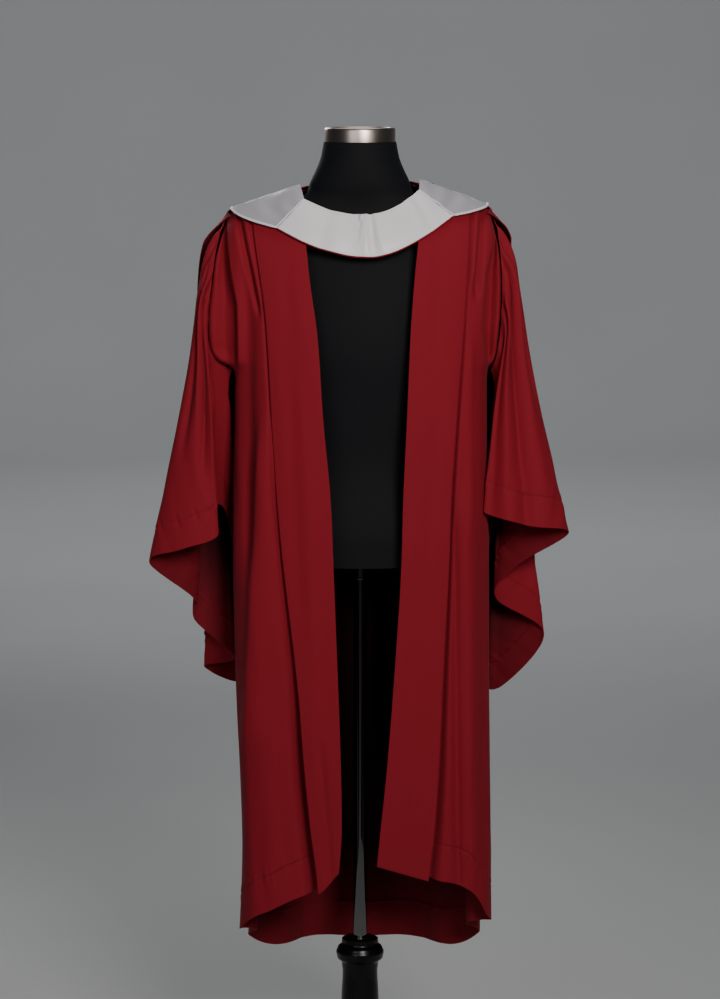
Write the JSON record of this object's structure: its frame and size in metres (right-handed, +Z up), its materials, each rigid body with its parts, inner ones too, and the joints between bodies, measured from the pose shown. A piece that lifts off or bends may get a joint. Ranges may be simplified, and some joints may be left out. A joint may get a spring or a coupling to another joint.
{
  "type": "graduation gown on a dress form",
  "caption": "Crimson open-fronted graduation gown with bell sleeves and a satin-trimmed hood, standing on a limbless dress form with a three-legged stand.",
  "frame": {"origin": "on the floor under the middle of the whole outline", "axes": "+Z up the pole, -Y the way the gown faces, +X to a viewer's right"},
  "size_m": [0.6724, 0.4417, 1.6],
  "materials": {
    "crimson_cloth": "matte",
    "silver_satin": "satin",
    "form_jersey": "matte",
    "black_gloss": "gloss",
    "chrome": "polished"
  },
  "bodies": {
    "root": {"front_band_left": "crimson_cloth", "front_band_right": "crimson_cloth", "front_side_left": "crimson_cloth", "front_side_right": "crimson_cloth", "back": "crimson_cloth", "sleeve_left_front": "crimson_cloth", "sleeve_left_back": "crimson_cloth", "sleeve_right_front": "crimson_cloth", "sleeve_right_back": "crimson_cloth", "hood_cape": "crimson_cloth", "hood_neckband": "silver_satin", "hood_satin_left": "silver_satin", "hood_satin_right": "silver_satin", "form_torso": "form_jersey", "neck_cap": "chrome", "pole": "chrome", "pole_clamp": "chrome", "hub": "black_gloss", "leg_1": "black_gloss", "leg_2": "black_gloss", "leg_3": "black_gloss"}
  },
  "joints": []
}
